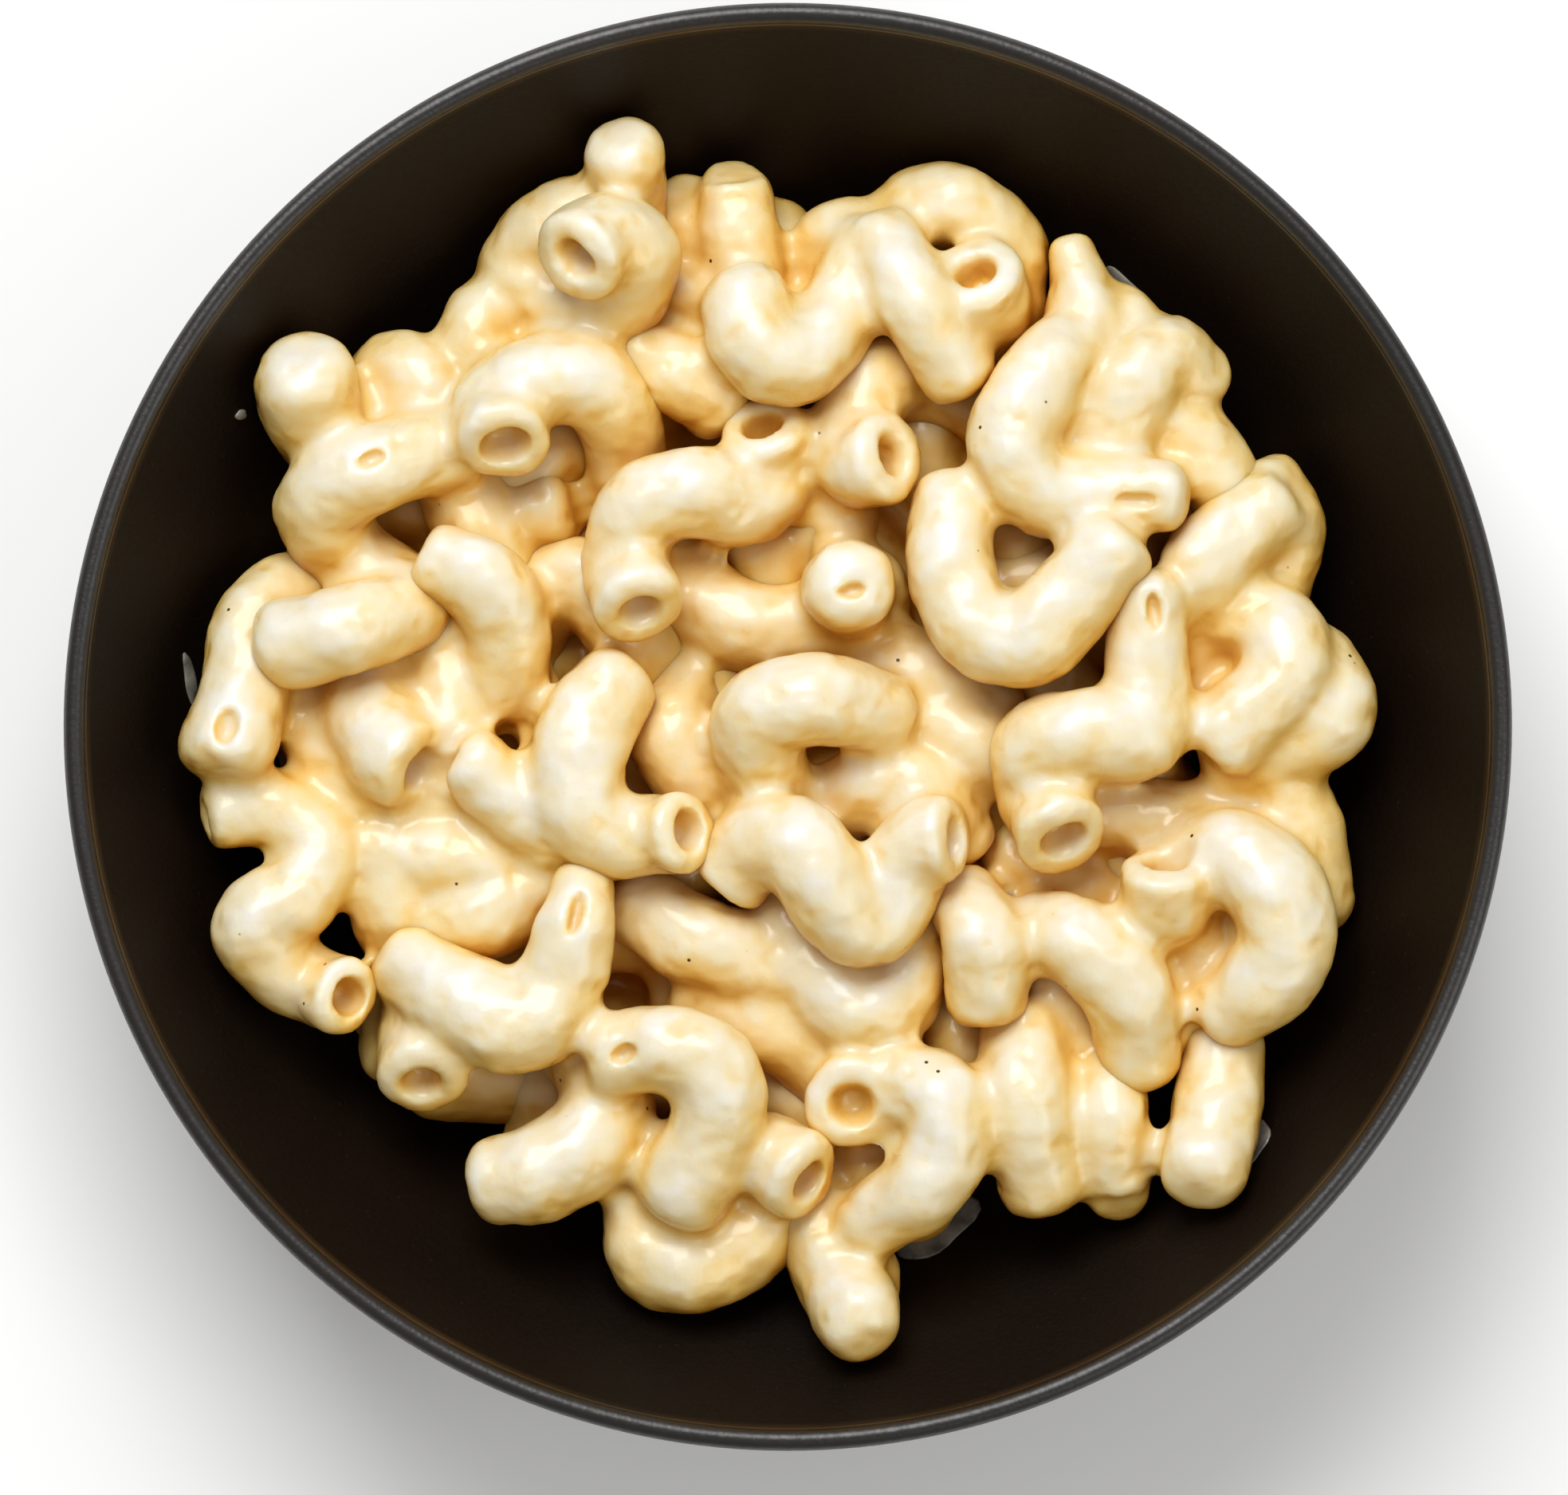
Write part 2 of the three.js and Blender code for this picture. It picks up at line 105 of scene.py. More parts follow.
def lathe(name, profile, sides):
    """A closed body of revolution from (radius, height) points that start and end on the axis."""
    points, faces = [(0, 0, profile[0][1])], []
    for r, z in profile[1:-1]:
        for j in range(sides):
            a = 2 * math.pi * j / sides
            points.append((r * math.cos(a), r * math.sin(a), z))
    points.append((0, 0, profile[-1][1]))
    last = len(points) - 1
    rings = len(profile) - 2
    for j in range(sides):
        k = (j + 1) % sides
        faces.append((0, 1 + k, 1 + j))
        for i in range(rings - 1):
            a, b = 1 + i * sides, 1 + (i + 1) * sides
            faces.append((a + j, a + k, b + k, b + j))
        faces.append((last, 1 + (rings - 1) * sides + j, 1 + (rings - 1) * sides + k))
    return millimetre_mesh(name, points, faces)


# The foot is a flat ring around a shallow recess, with its edges broken.
foot = [(0, RECESS), (FOOT_RADIUS - FOOT_RING, RECESS), (FOOT_RADIUS - FOOT_RING + 0.8, 0),
        (FOOT_RADIUS - 0.6, 0), (FOOT_RADIUS, 0.5)]
outside, inside, lip = [], [], []
for i in range(OUTSIDE_RINGS + 1):
    r = FOOT_RADIUS + (WELL_RADIUS - 1.6 - FOOT_RADIUS) * i / OUTSIDE_RINGS
    slope = well_slope(r)
    n = math.hypot(1, slope)
    outside.append((r + WALL * slope / n, max(well_height(r) - WALL / n, FOOT_EDGE)))
for i in range(LIP_RINGS + 1):
    a = -0.1 + (math.pi + 0.1) * i / LIP_RINGS
    lip.append(((RIM_RADIUS + WELL_RADIUS) / 2 + (RIM_RADIUS - WELL_RADIUS) / 2 * math.cos(a),
                RIM_HEIGHT - LIP + LIP * math.sin(a)))
for i in range(1, WELL_RINGS + 1):
    r = WELL_RADIUS * math.cos(math.pi / 2 * i / WELL_RINGS) ** 0.9
    inside.append((r, well_height(r)))
bowl = lathe("bowl_body", foot + outside + lip + inside, TURNED_SIDES)

# The lip is worn smoother and shinier than the rest, so it has a finish of its own.
for finish, shine, rough in (("matte_black_glaze_stoneware", 0.18, 0.0),
                             ("worn_black_glaze_on_the_lip", 0.7, -0.1)):
    glaze, tree = new_material(finish)
    place = put(tree, "ShaderNodeTexCoord").outputs["Object"]
    flat = put(tree, "ShaderNodeVectorMath", {0: place, 1: (1, 1, 0)}, operation="MULTIPLY").outputs[0]
    radius = put(tree, "ShaderNodeVectorMath", {0: flat}, operation="LENGTH").outputs["Value"]
    # The glaze pools in soft clouds a few centimetres wide. Its grit is about a quarter of a millimetre,
    # drawn at half a millimetre so that it shows.
    cloud = put(tree, "ShaderNodeTexNoise", {"Vector": place, "Scale": 1000 / 40, "Detail": 3}).outputs["Fac"]
    grit = put(tree, "ShaderNodeTexNoise", {
        "Vector": place, "Scale": 1000 / 0.55, "Detail": 2}).outputs["Fac"]
    specks = put(tree, "ShaderNodeTexVoronoi", {"Vector": place, "Scale": 1000 / 2.2}).outputs["Distance"]
    tone = put(tree, "ShaderNodeValToRGB", {0: cloud}, [(0.3, "#080300"), (0.7, "#110701")]).outputs[0]
    dust = put(tree, "ShaderNodeValToRGB", {0: specks}, [(0.03, "#262320"), (0.09, "#000000")]).outputs[0]
    speckled_tone = put(tree, "ShaderNodeMix", {"Factor": 0.35, 6: tone, 7: dust}, data_type="RGBA",
              blend_type="ADD").outputs[2]
    # Painted reflection: a brown line half a millimetre wide just inside the lip stands for the golden food
    # reflected there, stronger in places. The line is drawn by its distance from the bowl's axis, so a faint
    # one runs round the outside as well.
    begin, peak, end = [(WELL_RADIUS + offset) / 1000 for offset in (-0.6, -0.1, 0.2)]
    inner = put(tree, "ShaderNodeMapRange", {0: radius, 1: begin, 2: peak, 3: 0.0, 4: 1.0}).outputs[0]
    outer = put(tree, "ShaderNodeMapRange", {0: radius, 1: peak, 2: end, 3: 1.0, 4: 0.0}).outputs[0]
    reflection_band = put(tree, "ShaderNodeMath", {0: inner, 1: outer}, operation="MULTIPLY").outputs[0]
    reflection_strength = put(tree, "ShaderNodeMapRange", {0: cloud, 1: 0.4, 2: 0.6, 3: 0.25, 4: 0.85}).outputs[0]
    painted_lip_reflection = put(tree, "ShaderNodeMath", {0: reflection_band, 1: reflection_strength}, operation="MULTIPLY").outputs[0]
    colour = put(tree, "ShaderNodeMix", {"Factor": painted_lip_reflection, 6: speckled_tone, 7: linear("#402C14")},
                 data_type="RGBA").outputs[2]
    satin = put(tree, "ShaderNodeMapRange", {0: grit, 3: 0.42 + rough, 4: 0.6 + rough}).outputs[0]
    bump = put(tree, "ShaderNodeBump", {"Height": grit, "Strength": 0.35, "Distance": 0.00012}).outputs[0]
    body = put(tree, "ShaderNodeBsdfPrincipled", {
        "Base Color": colour, "Roughness": satin, "Normal": bump, "Specular IOR Level": shine})
    put(tree, "ShaderNodeOutputMaterial", {"Surface": body.outputs[0]})
    bowl.data.materials.append(glaze)
for face in bowl.data.polygons:
    on_lip = math.hypot(face.center.x, face.center.y) > (WELL_RADIUS - 0.1) / 1000
    if on_lip and face.center.z > (RIM_HEIGHT - 2 * LIP - 0.1) / 1000:
        face.material_index = 1
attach(bowl, "root")
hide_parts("bowl")


# ------------------------------------------------------------------------------------ macaroni
# Cavatappi: hollow tubes of durum wheat pasta, extruded through a die that twists them into short
# corkscrews, then boiled soft and coated in cheese sauce, which rounds their lips and joins them where
# they touch. They lie about four deep, every piece bent and turned in its own way.
TUBE, CLEAR = 4.7, 0.35  # a usual tube's radius with its sauce, and how far it stays off the bowl
BORE = 0.45  # of a tube's radius
SAG = 0.3  # the soft tubes sag: a bore that lies level is this much lower than wide
BORE_DEPTH = 3.2
DOME = 0.9  # how far a closed end reaches past its last bend, in radii
BLUNT = 3  # how blunt the ends are: 2 would make them round
FLARE, FLARE_LENGTH = 1.06, 4.0  # how much an open end widens, and over what length
LIP_ROUND = 1.6  # how far the rounding of a cut end reaches
# Along a bore: how far in from the cut end, and how wide it is there against BORE.
MOUTH = ((-3, 1.9), (-0.2, 1.35), (0.8, 1.1), (2, 0.95), (BORE_DEPTH, 0.6))
SLIT_DEPTH = 1.9
DOME_RINGS, SLIT_RINGS = 6, 8
TUBE_SIDES, BORE_SIDES, SLIT_SIDES, MOUND_SIDES, POINT_SPACING = 20, 16, 12, 40, 0.85
# The size of the grid on which the tubes are fused, and how far sauce creeps into the gaps between them.
VOXEL, FILL = 0.42, 0.7
BED_VOXEL, BED_FILL = 0.6, 1.0

# Each piece, or strand of one, is given by the bends of its middle line in millimetres and by how wide it
# is there, as an outside radius. open names the ends whose mouths can be seen, a for the first, b the last.
MACARONI = {
    "upper_left": [
        dict(at=[(-48.8, 30.6, 24), (-49.8, 33.4, 27.5), (-50.1, 35.4, 29.5)], wide=(4.7, 5.5, 5.4)),
        dict(at=[(-43, 31.5, 25), (-42.3, 36.8, 27), (-38.6, 36.6, 29), (-37.6, 29, 29)],
             wide=(4, 4.2, 4.6, 4.6)),
        dict(at=[(-46, 33.5, 30), (-42, 33, 29)], wide=2.6),
        dict(at=[(-36.2, 29, 32), (-43.5, 26.8, 35), (-49, 23.4, 32.5), (-46.3, 18, 28.5),
                 (-40, 12.8, 31), (-45.4, 10.2, 35), (-51.2, 8.9, 34)],
             wide=(4.6, 4.9, 4.8, 4.5, 4.7, 4.8, 4.9)),
        dict(at=[(-17, 53.8, 22), (-23.5, 52.8, 25), (-27.8, 47.8, 27), (-23, 44, 28),
                 (-17, 45.4, 31), (-16, 49.4, 34.5), (-19.4, 50.4, 36.5), (-22.3, 48.2, 40.5)],
             wide=(4.5, 4.8, 4.9, 4.9, 4.8, 4.8, 4.9, 4.8), open="b"),
        dict(at=[(-16.9, 58, 28), (-16.7, 51, 27), (-15.5, 44, 23)], wide=4.3),
        dict(at=[(-28.5, 45, 25), (-32.4, 41.5, 28), (-32.4, 34, 27)], wide=4.4),
        dict(at=[(-16.6, 25, 26), (-17.2, 31, 29), (-20, 35.6, 32), (-25.5, 36.3, 33.5),
                 (-29.8, 33.2, 34), (-29.3, 28.8, 39)], wide=(4.4, 4.6, 5, 5, 5, 4.8), open="b"),
        dict(at=[(-34.5, 26, 26), (-31.5, 18.5, 28), (-29.8, 11, 26)], wide=4.8),
        dict(at=[(-31, 21, 25), (-25.6, 22.6, 27)], wide=4.3),
    ],
    "left": [
        dict(at=[(-47, 13.6, 24), (-52, 13.8, 27), (-56, 10, 29.5), (-56.6, 4.4, 31.5),
                 (-58, -0.9, 33.5)], wide=(4.6, 4.6, 4.6, 4.6, 5.2)),
        dict(at=[(-61, -9.6, 31), (-54.6, -8.6, 30.5), (-49.2, -12.2, 30.5), (-50.8, -17.2, 32),
                 (-55.8, -21, 32), (-53, -25, 30.5), (-49, -27.2, 30.5), (-45.4, -28.3, 35.5)],
             wide=(3.4, 4.3, 4.5, 4.6, 4.7, 4.4, 4, 4), open="ab"),
        dict(at=[(-35.2, 16.8, 33.5), (-31.8, 15.4, 34), (-29, 10.5, 32), (-29.6, 4.6, 30)],
             wide=(4.2, 4.7, 4.5, 4.2)),
        dict(at=[(-28, 9, 22), (-25.6, 14.6, 26), (-20.5, 15, 28), (-16.5, 10, 27), (-13, 6, 24)],
             wide=4.8),
        dict(at=[(-18.4, 3.4, 33), (-21.3, -1, 34.5), (-21.7, -7.3, 35), (-18.5, -11.3, 35),
                 (-13.5, -11.2, 35.5), (-9.9, -10.8, 39)],
             wide=(4.6, 5.3, 5.4, 4.9, 4.4, 4.3), open="b"),
        dict(at=[(-31.9, -4.6, 34), (-27.6, -8.8, 33.5), (-23.5, -12.5, 31.5)], wide=(4, 4, 3.6)),
        dict(at=[(-43.8, 6, 26), (-43, 0.6, 30), (-41.2, -2.8, 32.5), (-38.2, -4.6, 34.5)],
             wide=(5, 5.6, 5.4, 4.8), open="b"),
        dict(at=[(-50.5, 4, 25), (-48.6, -1.6, 27), (-44.6, -6, 28.5), (-39.5, -7.8, 28)], wide=4.3),
        dict(at=[(-36.4, 8, 27), (-35, -0.6, 29), (-36.5, -7, 28)], wide=4.7),
        dict(at=[(-27, 4.5, 27), (-25.6, 0, 29), (-25, -3, 30)], wide=3),
        dict(at=[(-42, -13.6, 28), (-40.6, -19, 27.5), (-38, -24, 26)], wide=(5.2, 5.6, 5.2)),
        dict(at=[(-41, -13.6, 28), (-35, -14, 29.5), (-28, -15.5, 28.5)], wide=(4.8, 4.9, 4.6)),
        dict(at=[(-37.5, -21.4, 28), (-32, -19.8, 30.5), (-26.5, -17.4, 29.5)], wide=4.6),
    ],
    "top": [
        dict(at=[(-5.5, 54.6, 28), (-4.7, 48, 28), (-2.5, 43, 26)], wide=(4.2, 4.5, 4.2)),
        dict(at=[(-10.5, 53, 25), (-9.8, 46, 25)], wide=3.8),
        dict(at=[(-4.2, 43.4, 34), (-3.2, 39.8, 35.5), (1, 38.2, 34.5), (4.8, 42.4, 32), (8, 49.4, 30)],
             wide=(4.8, 4.9, 4.8, 4.6, 4)),
        dict(at=[(10.4, 50, 31.5), (13.2, 44.4, 34.5), (17, 38, 33)], wide=(4.1, 4.4, 4.4)),
        dict(at=[(3.2, 46.5, 25), (4.9, 51.8, 27), (8.5, 52, 27)], wide=3.6),
        dict(at=[(10.5, 50, 24), (13, 53.6, 26), (18, 54.4, 27), (22.4, 50.4, 27), (22.6, 45, 27)],
             wide=4.6),
        dict(at=[(21.4, 40.6, 26), (20.8, 44, 31), (19.4, 47.6, 36)], wide=(4.4, 4.8, 4.7), open="b"),
        dict(at=[(-15.5, 38.5, 28.5), (-11, 36.5, 30), (-8.6, 34.6, 28.5)], wide=4.4),
        dict(at=[(-12.5, 46.5, 28), (-8.5, 44.5, 30)], wide=2.4),
    ],
    "middle": [
        dict(at=[(-2.7, 31.8, 33.5), (-1.6, 27.5, 29.5), (-3.8, 23.6, 31), (-9.5, 24.4, 34),
                 (-15.3, 22.8, 34), (-16.8, 17.4, 32.5), (-15.3, 11.8, 38)],
             wide=(4.4, 4.6, 5, 5, 4.8, 4.6, 4.8), open="ab"),
        dict(at=[(-12.5, 17.5, 24), (-9, 13.5, 27), (-3.5, 10.5, 28.5), (3, 10.8, 28), (8, 14, 26)],
             wide=4.9),
        dict(at=[(6, 13.8, 27), (6.3, 14.8, 36)], wide=(4.8, 4.9)),
        dict(at=[(4.5, 25.5, 26), (5.5, 18, 26)], wide=4.4),
        dict(at=[(15, 37.5, 25), (9.5, 36, 28.5), (6.9, 31.5, 30), (7.6, 27.6, 32), (11.2, 28.4, 36)],
             wide=(4.4, 4.6, 4.6, 4.8, 4.6), open="b"),
        dict(at=[(11, 34.8, 24), (17, 34.6, 25), (22, 32, 25)], wide=3.6),
        dict(at=[(-10.5, 3.5, 27), (-12, -0.8, 29), (-9.6, -5.6, 28.5)], wide=(4.3, 4.9, 4.3)),
        dict(at=[(8.7, 1.6, 34), (2.3, 2.8, 38), (-2.8, 1.3, 36.5), (-2.4, -4.6, 32),
                 (-0.3, -10.5, 28)], wide=(4.7, 4.9, 4.9, 4.8, 5)),
        dict(at=[(-7.2, -16.2, 33), (-3.6, -12.4, 35), (1, -12.4, 38), (4.5, -17.6, 38),
                 (8.4, -20.6, 36), (11.6, -15.4, 35.5), (14, -12.1, 37), (17.6, -11.6, 38.8)],
             wide=(4.4, 4.8, 5, 5, 5, 4.7, 4.6, 4.3), open="ab"),
        dict(at=[(4.5, -9, 28), (8.5, -6.2, 30.5), (13.5, -6.3, 31), (17, -11, 29.5)],
             wide=(4.4, 4.8, 4.8, 4.4)),
        dict(at=[(16.8, 0.2, 30), (21, -2.5, 30.5), (24, -4, 30)], wide=4),
        dict(at=[(8, 8.5, 26), (14, 5, 28), (20, 1.5, 27)], wide=4.9),
        dict(at=[(22, -7, 22), (22.5, -16, 22)], wide=4.4),
    ],
    "upper_right": [
        dict(at=[(29.8, 49.2, 29), (31.2, 43, 30), (32, 37, 29)], wide=(2.4, 4.7, 4.6)),
        dict(at=[(31, 44.5, 28), (35, 42.6, 29), (38.6, 39.5, 28)], wide=(3.4, 3.8, 2.6)),
        dict(at=[(30.6, 40.6, 31), (26, 35.5, 34.5), (23.6, 29.4, 35), (26.6, 24.6, 34.5),
                 (32, 24.4, 34.5), (38.2, 24.2, 35.5)], wide=(4.2, 4.9, 5.1, 4.9, 4.4, 4)),
        dict(at=[(42, 37, 29), (39.8, 38.6, 30.5), (36, 35.6, 32), (33.8, 29.6, 31)],
             wide=(4.3, 4.6, 4.8, 4.7)),
        dict(at=[(38.5, 33.5, 28), (42.5, 29.5, 29), (46.5, 24, 29)], wide=(4.4, 4.7, 4.2)),
        dict(at=[(17.3, 22.6, 33), (17, 16.5, 35), (19.2, 10.8, 36), (24, 8.8, 36.5),
                 (28.4, 12.2, 37), (32.8, 17.4, 37.5)], wide=(4.6, 4.8, 5, 5.1, 5, 4.5)),
        dict(at=[(20, 14.8, 26), (29, 15, 27)], wide=4.3),
    ],
    "right": [
        dict(at=[(49.4, 22.1, 31), (43.2, 16.4, 32), (44.8, 12.6, 29.5), (50.6, 10.6, 31),
                 (52.4, 6.2, 33), (46.6, -0.2, 33)], wide=(4.5, 4.8, 4.4, 4.7, 4.9, 4.8)),
        dict(at=[(50.3, 24.4, 28), (52.2, 21, 28), (51, 15.5, 26)], wide=4.3),
        dict(at=[(55.4, 6.2, 29), (57.2, 1.4, 31), (52.5, -1.8, 30), (47.5, -4, 28.5)],
             wide=(4.4, 4.7, 4.6, 4.4)),
        dict(at=[(37.5, 12.9, 35.5), (37.4, 7.4, 34.5), (36.6, -0.4, 35.5), (31, -1, 36.5),
                 (25.9, -1.9, 35), (26.2, -6.6, 33), (28.8, -12, 38.5)],
             wide=(3.8, 4.6, 5.3, 5.1, 4.8, 4.8, 5), open="b"),
        dict(at=[(40.8, -14.4, 30), (46.2, -13.6, 33.5), (50.8, -17, 35), (51.8, -22.6, 35),
                 (49.4, -27, 34), (46.8, -29, 32.5)], wide=(4.4, 5.1, 5.4, 5.1, 4.9, 4.4)),
        dict(at=[(39.2, -13.9, 36.5), (39.2, -17.6, 34.5), (39.8, -19.6, 30)],
             wide=(4.5, 4.8, 4.5), open="a"),
        dict(at=[(51.6, -6, 28), (54.2, -12, 28), (54.8, -17, 28)], wide=4.4),
        dict(at=[(26.5, -21.6, 32), (30.5, -22.4, 34), (35, -27, 34.5), (36.6, -33.4, 31.5)],
             wide=(4.4, 4.8, 4.9, 4.6)),
        dict(at=[(18.6, -18.2, 32), (20.4, -21.8, 34.5), (20.5, -27.4, 33)], wide=(4, 4.7, 4.4)),
        dict(at=[(42.8, -20, 29), (43, -26, 29), (41, -31, 28)], wide=3.4),
        dict(at=[(41, 2, 27), (42.4, 8, 28)], wide=3.8),
        dict(at=[(33, -9, 28), (38.5, -9.8, 28.5), (43.5, -9.8, 28)], wide=4.3),
        dict(at=[(24.5, -14.5, 25), (31, -17.5, 26)], wide=4.6),
    ],
    "lower_left": [
        dict(at=[(-38.4, -25.8, 31.5), (-33.5, -28.8, 34.5), (-27.6, -31, 35.5), (-24, -26.8, 35),
                 (-22, -20.6, 36), (-21.4, -17.4, 35)], wide=(5, 5.4, 5.3, 4.8, 4.3, 3.6)),
        dict(at=[(-38.6, -29, 27), (-38.2, -33.4, 30.5), (-38.1, -37.3, 35)],
             wide=(4.8, 4.8, 4.6), open="b"),
        dict(at=[(-41.5, -30, 24), (-41.2, -33.6, 26)], wide=3.8),
        dict(at=[(-35.6, -36.6, 23), (-25, -37, 22)], wide=4.9),
        dict(at=[(-20.3, -34.5, 28), (-18.8, -39.5, 30), (-21.6, -44, 31.5), (-26.4, -46.6, 32),
                 (-29.2, -47, 31.5)], wide=(4.8, 5.2, 5.4, 5.4, 4.8)),
        dict(at=[(-17, -33.8, 35.5), (-12.3, -33.6, 36.5), (-7.6, -36, 36.5), (-7.6, -41.5, 35),
                 (-10.6, -47.6, 33)], wide=(4.4, 4.7, 5, 5.1, 5.1)),
        dict(at=[(-8, -44, 28), (-2.5, -44.6, 31), (2.4, -47.4, 35.5)], wide=(4.4, 4.6, 4.6), open="b"),
        dict(at=[(-15.2, -51.4, 28), (-14, -55.4, 28.5), (-10, -57, 28.5), (-4, -53.8, 28),
                 (-0.5, -50, 26)], wide=(4.2, 4.9, 4.9, 4.6, 4)),
        dict(at=[(-10, -49.5, 23), (-2, -49.5, 23)], wide=4.4),
    ],
    "bottom": [
        dict(at=[(2.4, -50.5, 27), (4.6, -55.5, 28.5), (6.5, -59.9, 29)], wide=(4.3, 4.9, 4.9)),
        dict(at=[(7, -58, 27), (9, -57.8, 27)], wide=3.4),
        dict(at=[(7.2, -37.2, 25), (6.5, -39.5, 35.5)], wide=(4.8, 4.8), open="b"),
        dict(at=[(11.4, -37.6, 32.5), (15.8, -38.4, 34.5), (17, -43, 35), (13.6, -48, 34),
                 (9.2, -51.2, 31.5)], wide=(4.4, 4.8, 4.8, 4.7, 4.1)),
        dict(at=[(9, -45, 25), (15, -41, 25)], wide=4.2),
        dict(at=[(24.6, -33.4, 30), (24.8, -39, 33), (26.3, -46.6, 31)], wide=(4.8, 5, 4.8)),
        dict(at=[(33.6, -37, 30), (33.6, -41.5, 32), (34.4, -47.2, 30)], wide=(3.7, 4, 3.7)),
        dict(at=[(29, -27.5, 27), (31.5, -34, 27)], wide=4.4),
        dict(at=[(45.4, -34.8, 29), (44.8, -40, 31), (43.6, -44.6, 30)], wide=(4.6, 4.9, 4.7)),
        dict(at=[(37.4, -44.6, 28), (40.4, -44.6, 28)], wide=2.2),
        dict(at=[(0.4, -17.5, 28), (2, -24, 30), (6.5, -29, 31), (11.2, -28, 30.5), (12.2, -21, 29)],
             wide=(4.6, 4.9, 5.3, 5, 4.6)),
        dict(at=[(-14.8, -19.5, 29), (-9.5, -22.5, 31.5), (-3, -25, 30)], wide=(4.4, 4.8, 4.6)),
        dict(at=[(-8.5, -29, 28), (-2, -31, 28.5), (4, -35.5, 27)], wide=4.6),
    ],
}
# Slits and dimples where a mouth has closed up or a tube has folded in, on top of the tubes: in which part
# of the heap, from where to where, and half the width.
SLITS = [
    ("upper_right", (33.4, 23.6, 39.4), (38.4, 23.4, 39.6), 0.85),
    ("right", (38.2, 9.6, 39.2), (37.8, 14.2, 39.4), 0.9),
    ("lower_left", (-21.3, -16.6, 39.4), (-22.6, -22, 40.2), 0.95),
    ("lower_left", (-18.6, -34.8, 40.2), (-15.8, -33.2, 40.4), 0.9),
    ("left", (-57.8, 2.4, 38.2), (-58.6, -2.2, 39), 1.3),
    ("middle", (4.8, 13.8, 40.6), (8.2, 14.4, 40.6), 0.9),
    ("upper_left", (-44.8, 27, 40), (-41.6, 28.6, 40), 0.7),
]
# The lower layer: straight runs that lean up the wall, by the angle that they point to.
LOWER = (3, 28, 68, 92, 118, 140, 160, 178, 215, 240, 262, 285, 305, 330)


def middle_line(at, wide, open):
    """A centripetal curve through the bends, as points a bit under a millimetre apart, clear of the well,
    with the radius at each. A closed end reaches on by the length of its dome."""
    bends = [Vector(p) for p in at]
    widths = list(wide) if isinstance(wide, tuple) else [wide] * len(at)
    if "a" not in open:
        bends.insert(0, bends[0] + (bends[0] - bends[1]).normalized() * widths[0] * DOME)
        widths.insert(0, widths[0])
    if "b" not in open:
        bends.append(bends[-1] + (bends[-1] - bends[-2]).normalized() * widths[-1] * DOME)
        widths.append(widths[-1])
    bends = [2 * bends[0] - bends[1]] + bends + [2 * bends[-1] - bends[-2]]
    line, radii = [], []
    for k, (a, b, c, d) in enumerate(zip(bends, bends[1:], bends[2:], bends[3:])):
        u = (b - a).length ** 0.5
        v = u + (c - b).length ** 0.5
        w = v + (d - c).length ** 0.5
        steps = max(3, round((c - b).length / POINT_SPACING))
        for i in range(steps):
            t = u + (v - u) * i / steps
            p = a.lerp(b, t / u)
            q = b.lerp(c, (t - u) / (v - u))
            s = c.lerp(d, (t - v) / (w - v))
            line.append(p.lerp(q, t / v).lerp(q.lerp(s, (t - u) / (w - u)), (t - u) / (v - u)))
            radii.append(widths[k] + (widths[k + 1] - widths[k]) * i / steps)
    line.append(bends[-2])
    radii.append(widths[-1])
    for p, tube in zip(line, radii):
        r = math.hypot(p.x, p.y)
        p.z = max(p.z, well_height(r) + (tube + CLEAR) * math.hypot(1, well_slope(r)))
    return line, radii


def add_rings(points, faces, rings, sides):
    """A closed skin over a row of rings, each given by its middle and its two half-axes."""
    first = len(points)
    for middle, across, up in rings:
        for j in range(sides):
            a = 2 * math.pi * j / sides
            points.append(middle + across * math.cos(a) + up * math.sin(a))
    for i in range(len(rings) - 1):
        for j in range(sides):
            k, a, b = (j + 1) % sides, first + i * sides, first + (i + 1) * sides
            faces.append((a + j, a + k, b + k, b + j))
    faces.append(tuple(first + j for j in reversed(range(sides))))
    faces.append(tuple(first + (len(rings) - 1) * sides + j for j in range(sides)))


